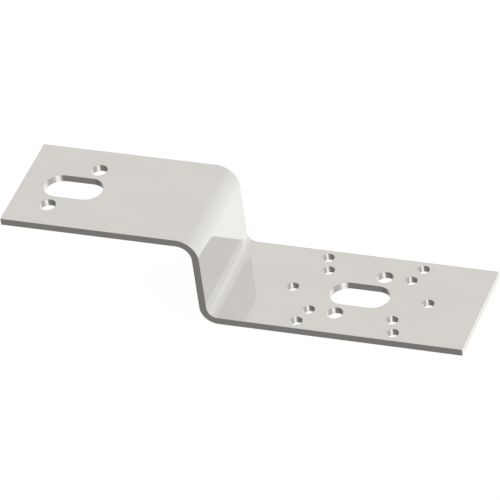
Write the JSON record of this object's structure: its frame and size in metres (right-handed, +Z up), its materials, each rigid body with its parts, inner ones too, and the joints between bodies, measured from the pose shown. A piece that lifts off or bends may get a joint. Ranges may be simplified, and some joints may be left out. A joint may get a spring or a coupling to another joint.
{
  "type": "wall mounting plate",
  "caption": "Flat steel strip cranked by square bends into offset plates, each with a slot and bolt holes for fixing to a wall.",
  "frame": {"origin": "middle of the footprint, on the lower plate's underside", "axes": "+X along the strip from the upper plate's free end to the lower plate's, +Y across the strip, +Z up from the lower plate to the upper one"},
  "size_m": [0.25, 0.065, 0.0535],
  "materials": {
    "steel": "bright rolled sheet, almost a mirror, with a faint grain along the strip and slightly duller cut edges"
  },
  "bodies": {
    "root": {"mounting_plate": "steel"}
  },
  "joints": []
}
